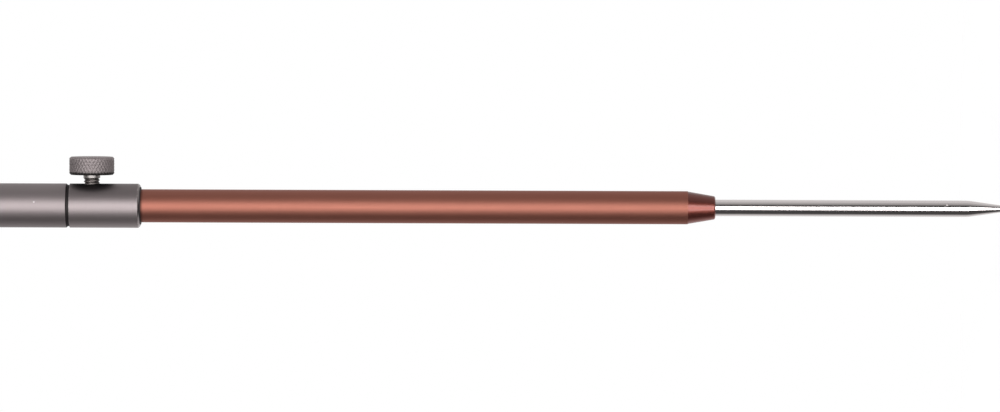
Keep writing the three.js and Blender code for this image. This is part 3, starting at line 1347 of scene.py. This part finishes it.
@dataclass(frozen=True)
class UpperStick:
    """The outer tube with its clamp collar, its bushes and its threaded head."""

    body: str = "upper_stick"
    wall: float = 1 * MM
    seam_depth: float = 0.5 * MM
    seam_floor: float = 0.3 * MM
    seam_slope: float = 0.15 * MM
    tube_seam_floor: float = 0.4 * MM
    mouth_chamfer_radial: float = 0.55 * MM
    mouth_chamfer_axial: float = 0.6 * MM
    head_chamfer: float = 0.75 * MM
    fillet: float = 0.12 * MM
    tube_fillet: float = 0.45 * MM
    bush_gap: float = 0.05 * MM
    bush_wall: float = 0.5 * MM
    bush_clearance: float = 0.08 * MM
    hole_clearance: float = 0.04 * MM
    overrun: float = 1 * MM
    socket_thread: Thread = Thread(major=4.7625 * MM, pitch=1.27 * MM, depth=0.813 * MM)
    socket_lead_in: float = 0.4 * MM
    knock: Nick = Nick(Vector((0.00156, -0.00785, 0.2462)), 0.5 * MM)

    def build(self) -> None:
        """Makes and dresses every piece of the upper stick."""
        self._tube()
        self._collar()
        self._mouth_bush()
        self._head()
        self._insert()
        Bench.dress("upper_bush", TurnedPlastic("black_acetal_upper", BLACK, roughness=0.45))

    def _tube(self) -> None:
        """Draws the outer tube, with half of a groove at each end."""
        size = Extent.of("outer_tube")
        bore = size.radius - self.wall
        neck = size.radius - self.seam_depth
        reach = self.tube_seam_floor + self.seam_slope
        outline = [
            Corner(bore, size.bottom),
            Corner(neck, size.bottom),
            Corner(neck, size.bottom + self.tube_seam_floor),
            Corner(size.radius, size.bottom + reach, self.tube_fillet),
            Corner(size.radius, size.top - reach, self.tube_fillet),
            Corner(neck, size.top - self.tube_seam_floor),
            Corner(neck, size.top),
            Corner(bore, size.top),
        ]
        tube = Bench.piece("grey_outer_tube", Lathe.turn(outline))
        half_width = reach + self.tube_fillet
        finish = Anodised(
            "grey_anodising",
            GREY_DYE,
            roughness=0.52,
            marks=Marks.DRAWN,
            worn=(size.bottom + reach, size.top - reach),
            nick=self.knock,
            # Painted shade in the seam grooves at both ends of the tube.
            grooves=tuple(Groove(z, half_width, size.radius) for z in (size.bottom, size.top)),
        )
        Bench.fit(tube, self.body, "grey_tube", finish, "outer_tube")

    def _collar(self) -> None:
        """Turns the collar and drills its hole for the thumbscrew."""
        size = Extent.of("clamp_collar")
        seam = Extent.of("outer_tube").bottom
        bush = Extent.of("mouth_bush")
        inner = Extent.of("inner_tube")
        spigot = size.radius - self.wall - self.bush_gap
        neck = size.radius - self.seam_depth
        reach = self.seam_floor + self.seam_slope
        seat = inner.radius + self.bush_clearance + self.bush_wall + self.bush_gap
        bore = inner.radius + 2 * self.bush_clearance
        chamfer_top = size.bottom + self.mouth_chamfer_axial
        outline = [
            Corner(seat, size.bottom),
            Corner(size.radius - self.mouth_chamfer_radial, size.bottom),
            Corner(size.radius, chamfer_top, self.fillet / 2),
            Corner(size.radius, seam - reach, self.fillet),
            Corner(neck, seam - self.seam_floor),
            Corner(neck, seam),
            Corner(spigot, seam),
            Corner(spigot, size.top),
            Corner(bore, size.top),
            Corner(bore, bush.top),
            Corner(seat, bush.top),
        ]
        collar = Bench.piece("turned_clamp_collar", Lathe.turn(outline))
        Bench.cut(collar, self._tap(size.radius + self.overrun))
        # Painted shadow and dark reflection of the knob on the collar, round the thumbscrew's hole.
        painted_shadow = PaintedShadow(
            centre=Vector((size.radius, 0.0, SCREW_HEIGHT)),
            inner=3.6 * MM,
            outer=7.4 * MM,
            strength=0.93,
            stretch=1.38,
        )
        finish = Anodised(
            "grey_turned_anodising",
            GREY_DYE,
            roughness=0.5,
            marks=Marks.TURNED,
            worn=(chamfer_top, seam - reach),
            # Painted shade towards the thumbscrew, painted light on the far side.
            rub_or_painted_light=0.25,
            faced=chamfer_top,
            painted_shadow=painted_shadow,
            # Painted shade in the seam groove.
            grooves=(Groove(seam, reach, size.radius),),
        )
        Bench.fit(collar, self.body, "grey_collar", finish, "clamp_collar")

    def _tap(self, top: float) -> bpy.types.Object:
        """Makes the tool that taps the collar, in step with the thumbscrew's thread.

        Args:
            top: How far from the stick's axis it ends, in metres.

        Returns:
            The tool.
        """
        start = Extent.of("screw_stud", Axis.SCREW).bottom - 2 * SCREW_THREAD.pitch
        tap = replace(SCREW_THREAD, major=SCREW_THREAD.major + self.hole_clearance)
        return Bench.piece("collar_tap", tap.between(start, top), Axis.SCREW)

    def _mouth_bush(self) -> None:
        """Turns the bush, whose flange shows as a dark ring round the inner tube."""
        size = Extent.of("mouth_bush")
        bore = Extent.of("inner_tube").radius + self.bush_clearance
        shank = bore + self.bush_wall
        flange_top = Extent.of("clamp_collar").bottom
        outline = [
            Corner(bore, size.bottom, self.fillet / 2),
            Corner(size.radius, size.bottom, self.fillet),
            Corner(size.radius, flange_top),
            Corner(shank, flange_top),
            Corner(shank, size.top),
            Corner(bore, size.top),
        ]
        bush = Bench.piece("acetal_mouth_bush", Lathe.turn(outline))
        finish = TurnedPlastic("black_acetal_mouth", MOUTH_BLACK, roughness=0.6)
        Bench.fit(bush, self.body, "black_acetal", finish, "mouth_bush")

    def _head(self) -> None:
        """Turns the head that closes the outer tube and takes the threaded insert."""
        size = Extent.of("head_cap")
        seam = Extent.of("outer_tube").top
        insert = Extent.of("thread_insert")
        seat = insert.radius + self.bush_gap
        spigot = size.radius - self.wall - self.bush_gap
        neck = size.radius - self.seam_depth
        reach = self.seam_floor + self.seam_slope
        outline = [
            Corner(0.0, size.bottom),
            Corner(spigot, size.bottom),
            Corner(spigot, seam),
            Corner(neck, seam),
            Corner(neck, seam + self.seam_floor),
            Corner(size.radius, seam + reach, self.fillet),
            Corner(size.radius, size.top - self.head_chamfer, self.fillet),
            Corner(size.radius - self.head_chamfer, size.top, self.fillet),
            Corner(seat, size.top),
            Corner(seat, insert.bottom),
            Corner(0.0, insert.bottom),
        ]
        head = Bench.piece("turned_head", Lathe.turn(outline))
        finish = Anodised(
            "grey_turned_anodising_head",
            GREY_DYE,
            roughness=0.5,
            marks=Marks.TURNED,
            worn=(seam + reach, size.top - self.head_chamfer),
            # Painted shade in the seam groove.
            grooves=(Groove(seam, reach, size.radius),),
        )
        Bench.fit(head, self.body, "grey_collar", finish, "head_cap")

    def _insert(self) -> None:
        """Turns the brass insert and taps it."""
        size = Extent.of("thread_insert")
        thread = self.socket_thread
        outline = [
            Corner(0.0, size.bottom),
            Corner(size.radius, size.bottom, self.fillet),
            Corner(size.radius, size.top, self.fillet),
            Corner(0.0, size.top),
        ]
        insert = Bench.piece("brass_thread_insert", Lathe.turn(outline))
        floor = size.bottom + self.wall
        tap = thread.between(floor, size.top + self.overrun)
        Bench.cut(insert, Bench.piece("socket_tap", tap))
        mouth = thread.major + self.socket_lead_in
        cone = [
            Corner(0.0, size.top - mouth),
            Corner(mouth + self.overrun, size.top + self.overrun),
            Corner(0.0, size.top + self.overrun),
        ]
        Bench.cut(insert, Bench.piece("socket_countersink", Lathe.turn(cone, SCREW_SEGMENTS)))
        finish = TurnedBrass("turned_brass", thread.major)
        Bench.fit(insert, self.body, "insert_brass", finish, "thread_insert")


@dataclass(frozen=True)
class Thumbscrew:
    """The knurled knob with its stud, and the pad that the stud presses on the inner tube."""

    body: str = "thumbscrew"
    teeth: int = 40
    half_rows: int = 6
    knurl_depth: float = 0.16 * MM
    knurl_lean: float = 0.25
    steps_per_half_tooth: int = 4
    chamfer_cuts: int = 3
    edge_chamfer: float = 0.41 * MM
    crest_flat_share: float = 0.12
    fillet: float = 0.1 * MM
    shoulder_length: float = 1.3 * MM

    def build(self) -> None:
        """Makes and dresses every piece of the thumbscrew."""
        self._knob()
        self._stud()
        nylon = TurnedPlastic("pad_nylon", NATURAL_NYLON, roughness=0.5, axis=Axis.SCREW)
        Bench.dress("clamp_pad", nylon)

    def _knob(self) -> None:
        """Turns the knob's blank and rolls the diamond knurl into its side."""
        size = Extent.of("thumb_knob", Axis.SCREW)
        knob = Bench.piece("knurled_knob", self._knurled(size), Axis.SCREW)
        finish = KnurledAnodised(
            "grey_knurled_anodising",
            GREY_DYE,
            crest=size.radius,
            root=size.radius - self.knurl_depth,
            bottom=size.bottom,
            top=size.top,
        )
        Bench.fit(knob, self.body, "grey_knob", finish, "thumb_knob")

    def _knurled(self, size: Extent) -> bmesh.types.BMesh:
        """Turns the blank with enough rows for the knurl, then presses the knurl in.

        Args:
            size: The knob's extent, out to the knurl's crests.

        Returns:
            The knurled mesh.
        """
        mesh = bmesh.new()
        face = size.radius - self.knurl_depth - self.edge_chamfer
        half = [(0.0, size.bottom), (face, size.bottom), (size.radius, size.bottom)]
        section = half + [(radius, size.top) for radius, _ in reversed(half)]
        points = [mesh.verts.new((radius, 0.0, height)) for radius, height in section]
        edges = [mesh.edges.new(pair) for pair in zip(points, points[1:])]
        side_cuts = self.half_rows * self.steps_per_half_tooth - 1
        bmesh.ops.subdivide_edges(mesh, edges=[edges[2]], cuts=side_cuts)
        bmesh.ops.subdivide_edges(mesh, edges=[edges[1], edges[3]], cuts=self.chamfer_cuts)
        Lathe.spin(mesh, 2 * self.teeth * self.steps_per_half_tooth)
        row_height = (size.top - size.bottom) / self.half_rows
        for vert in mesh.verts:
            radius = math.hypot(vert.co.x, vert.co.y)
            if radius < face + Lathe.TOLERANCE:
                continue
            around = math.atan2(vert.co.y, vert.co.x) / FULL_TURN * 2 * self.teeth
            up = (vert.co.z - size.bottom) / row_height
            from_end = min(vert.co.z - size.bottom, size.top - vert.co.z)
            wanted = min(radius, face + from_end)
            if from_end > 0:
                relief = self._relief(around, up)
                wanted = min(wanted, size.radius - self.knurl_depth * (1 - relief))
            vert.co.x *= wanted / radius
            vert.co.y *= wanted / radius
        self._crease(mesh)
        return Lathe.cleaned(mesh)

    def _relief(self, around: float, up: float) -> float:
        """How high the knurl stands.

        Args:
            around: The place round the knob, in half teeth.
            up: The place along the knob, in half diamonds.

        Returns:
            0 in the grooves and 1 on the crests.
        """
        ridges = [self._flank(line % 2) for line in (up + around, up - around)]
        return min(1.0, min(ridges) * (1 + self.crest_flat_share))

    def _flank(self, place: float) -> float:
        """How high a ridge stands: its flank towards the stick is short, the other one long.

        Args:
            place: The place across the ridge, from 0 to 2.

        Returns:
            0 at its two feet and 1 at its crest.
        """
        crest = 2 * self.knurl_lean
        return min(place / crest, (2 - place) / (2 - crest))

    @staticmethod
    def _crease(mesh: bmesh.types.BMesh) -> None:
        """Splits each square along its lower diagonal, so that the grooves run straight.

        Args:
            mesh: The knurled mesh.
        """
        for face in [f for f in mesh.faces if len(f.verts) == 4]:
            a, b, c, d = face.verts
            first, second = (
                sum(math.hypot(v.co.x, v.co.y) for v in pair) for pair in ((a, c), (b, d))
            )
            pair = (a, c) if first < second else (b, d)
            bmesh.utils.face_split(face, *pair)

    def _stud(self) -> None:
        """Turns the stud's shoulder and cuts its thread."""
        size = Extent.of("screw_stud", Axis.SCREW)
        knob = Extent.of("thumb_knob", Axis.SCREW)
        shoulder = knob.bottom - self.shoulder_length
        root = SCREW_THREAD.major - SCREW_THREAD.depth
        outline = [
            Corner(0.0, shoulder - self.fillet),
            Corner(root, shoulder - self.fillet),
            Corner(size.radius, shoulder + 2 * self.fillet, self.fillet),
            Corner(size.radius, knob.bottom, self.fillet),
            Corner(size.radius - 2 * self.fillet, knob.bottom + self.fillet),
            Corner(0.0, knob.bottom + self.fillet),
        ]
        mesh = Lathe.turn(outline, SCREW_SEGMENTS)
        screw = SCREW_THREAD.between(size.bottom, shoulder)
        data = bpy.data.meshes.new("thread")
        screw.to_mesh(data)
        screw.free()
        mesh.from_mesh(data)
        bpy.data.meshes.remove(data)
        stud = Bench.piece("threaded_stud", mesh, Axis.SCREW)
        finish = ThreadedSteel("machined_steel", shoulder, root, SCREW_THREAD.major)
        Bench.fit(stud, self.body, "screw_steel", finish, "screw_stud")


@dataclass(frozen=True)
class Panel:
    """One light or bright surface of the studio, as the stick sees it.

    Attributes:
        facing: Its middle, in degrees round the stick from the camera towards the thumbscrew.
        half_width: From its middle to its edge, in degrees.
        feather: How wide its soft edge is, in degrees.
        strength: Its brightness.
        reach: How far it goes towards the stick's two ends, in degrees.
        reach_feather: How wide its soft edge is there, in degrees.
        bend: How far it bends away from the thumbscrew towards the spike's end, in degrees.
        pinch: How much narrower each half is where the polished spike mirrors it, in degrees.
    """

    facing: float
    half_width: float
    feather: float
    strength: float
    reach: float = 120.0
    reach_feather: float = 20.0
    bend: float = 0.0
    pinch: float = 0.0


@dataclass(frozen=True)
class Studio:
    """The camera, the light and the floor.

    Attributes:
        image_width: The picture's width, in pixels.
        image_height: Its height, in pixels.
        scale: Metres per pixel at the stick.
        distance: From the camera to the stick, in pixels.
        sensor: The camera's sensor width, in millimetres.
        nose_column: The column at which the spike leaves the nose.
        axis_row_left: The row of the stick's axis at the picture's left edge.
        axis_row_right: The same at its right edge.
        towards_knob: How far the camera stands round towards the thumbscrew, in radians.
        floor_radius: The floor's radius, in metres.
        floor_gap: How far it lies below the spike's tip, in metres.
        room: The light that comes from everywhere.
        panels: The lights, of which one is negative and shades the middle of the first.
    """

    image_width: float = 1000.0
    image_height: float = 412.0
    scale: float = 0.3623 * MM
    distance: float = 5290.0
    sensor: float = 36.0
    nose_column: float = 715.2
    axis_row_left: float = 205.14
    axis_row_right: float = 208.76
    towards_knob: float = math.radians(2.4)
    floor_radius: float = 250 * MM
    floor_gap: float = 0.2 * MM
    room: float = 0.064
    panels: tuple[Panel, ...] = (
        Panel(
            facing=-2.0,
            half_width=21.5,
            feather=5.0,
            strength=5.41,
            reach=46.0,
            reach_feather=24.0,
            bend=4.6,
            pinch=5.5,
        ),
        Panel(
            facing=-3.5,
            half_width=11.0,
            feather=13.0,
            strength=-2.34,
            reach=46.0,
            reach_feather=24.0,
            bend=4.6,
        ),
        Panel(facing=75.0, half_width=25.0, feather=34.0, strength=0.42),
        Panel(facing=177.0, half_width=86.0, feather=35.0, strength=0.53),
        Panel(facing=180.0, half_width=56.0, feather=59.0, strength=0.27),
    )

    CLIP = (0.1, 50.0)
    BENT_FROM = (-1.8, -4.4)
    BENT_UNTIL = (-16.0, -9.0)
    SPIKE_FROM = (-2.0, -2.3)
    SPIKE_UNTIL = (-6.5, -5.8)
    FLOOR_SEGMENTS = 96
    FLOOR_GLOW = 0.72
    FLOOR_SEEN = (0.4, 0.4, 0.4, 1.0)
    FLOOR_UNSEEN = (0.7, 0.7, 0.7, 1.0)

    def build(self) -> None:
        """Sets up the camera, the world and the floor."""
        self._camera()
        self._world()
        self._floor()
        bpy.context.scene.view_settings.view_transform = "Standard"

    def _camera(self) -> None:
        """Places the camera in front of the stick, on its side."""
        data = bpy.data.cameras.new("camera")
        data.sensor_width = self.sensor
        data.lens = self.sensor * self.distance / self.image_width
        data.clip_start, data.clip_end = self.CLIP
        camera = bpy.data.objects.new("camera", data)
        bpy.context.scene.collection.objects.link(camera)
        bpy.context.scene.camera = camera
        away = self.distance * self.scale
        forward = Vector((-math.sin(self.towards_knob), math.cos(self.towards_knob), 0.0))
        roll = math.atan2(self.axis_row_right - self.axis_row_left, self.image_width)
        up = Matrix.Rotation(-roll, 3, forward) @ Vector((forward.y, -forward.x, 0.0))
        right = forward.cross(up)
        middle_row = (self.axis_row_left + self.axis_row_right) / 2
        height = (self.nose_column - self.image_width / 2) * self.scale
        rise = (middle_row - self.image_height / 2) * self.scale
        place = Vector((0.0, 0.0, height)) - forward * away + up * rise
        facing = Matrix((right, up, -forward)).transposed().to_4x4()
        camera.matrix_world = Matrix.Translation(place) @ facing

    def _world(self) -> None:
        """Lights the stick: a soft box that the camera shades, a bright sweep and a dim room."""
        world = bpy.data.worlds.new("studio")
        bpy.context.scene.world = world
        world.use_nodes = True
        sheet = Sheet(world.node_tree)
        parts = sheet.node("ShaderNodeSeparateXYZ", None, {0: sheet.wire("ShaderNodeTexCoord")})
        x, y, z = (Wire(sheet, parts.outputs[i]) for i in range(3))
        angle = x.math("ARCTAN2", y * -1).math("DEGREES") - math.degrees(self.towards_knob)
        rise = z.math("ARCSINE").math("DEGREES")
        light = self._panel(angle, rise, self.panels[0])
        for panel in self.panels[1:]:
            light = light + self._panel(angle, rise, panel)
        light = light + self.room
        seen = sheet.wire("ShaderNodeLightPath", output="Is Camera Ray")
        level = sheet.wire("ShaderNodeMix", {"data_type": "FLOAT"}, {0: seen, 2: light, 3: 1.0})
        grey = sheet.combine(level, level, level)
        background = sheet.node("ShaderNodeBackground", None, {"Color": grey, "Strength": 1.0})
        sheet.node("ShaderNodeOutputWorld", None, {"Surface": Wire(sheet, background.outputs[0])})

    def _panel(self, angle: Wire, rise: Wire, panel: Panel) -> Wire:
        """Shines one panel.

        Args:
            angle: The direction round the stick, in degrees.
            rise: Its angle to the plane across the stick, up towards the head, in degrees.
            panel: The panel.

        Returns:
            Its light from that direction.
        """
        bent = rise.rises(*self.BENT_FROM) * rise.rises(*self.BENT_UNTIL)
        middle = panel.facing - bent * panel.bend
        half_turn = TURN_DEGREES / 2
        off = (angle - middle + half_turn * 3).math("MODULO", TURN_DEGREES) - half_turn
        half = panel.feather / 2
        pinched = rise.rises(*self.SPIKE_FROM) * rise.rises(*self.SPIKE_UNTIL)
        edge = off.math("ABSOLUTE") + pinched * panel.pinch
        across = edge.rises(panel.half_width + half, panel.half_width - half)
        half = panel.reach_feather / 2
        along = rise.math("ABSOLUTE").rises(panel.reach + half, panel.reach - half)
        return across * along * panel.strength

    def _floor(self) -> None:
        """Lays a pale round floor just under the spike's tip, which keeps a soft shadow."""
        mesh = bmesh.new()
        size = {"radius": self.floor_radius, "segments": self.FLOOR_SEGMENTS}
        bmesh.ops.create_circle(mesh, cap_ends=True, **size)
        height = CAD_BOX[0].z - self.floor_gap
        bmesh.ops.translate(mesh, vec=(0.0, 0.0, height), verts=mesh.verts[:])
        floor = Bench.piece("studio_floor", mesh)
        material, sheet = new_material("pale_floor")
        seen = sheet.wire("ShaderNodeLightPath", output="Is Camera Ray")
        glow = sheet.wire("ShaderNodeEmission", None, {"Strength": self.FLOOR_GLOW})
        dim = sheet.wire("ShaderNodeBsdfDiffuse", None, {"Color": self.FLOOR_SEEN})
        lit = sheet.wire("ShaderNodeAddShader", None, {0: glow, 1: dim})
        pale = sheet.wire("ShaderNodeBsdfDiffuse", None, {"Color": self.FLOOR_UNSEEN})
        both = sheet.wire("ShaderNodeMixShader", None, {0: seen, 1: pale, 2: lit})
        mirrored = sheet.wire("ShaderNodeLightPath", output="Is Glossy Ray")
        clear = sheet.wire("ShaderNodeBsdfTransparent")
        surface = sheet.wire("ShaderNodeMixShader", None, {0: mirrored, 1: both, 2: clear})
        sheet.node("ShaderNodeOutputMaterial", None, {"Surface": surface})
        floor.data.materials.append(material)


def main() -> None:
    """Builds the studio and the stick."""
    logging.basicConfig(level=logging.INFO, format="%(name)s: %(message)s")
    Studio().build()
    LowerStick().build()
    UpperStick().build()
    Thumbscrew().build()


if __name__ == "__main__":
    main()
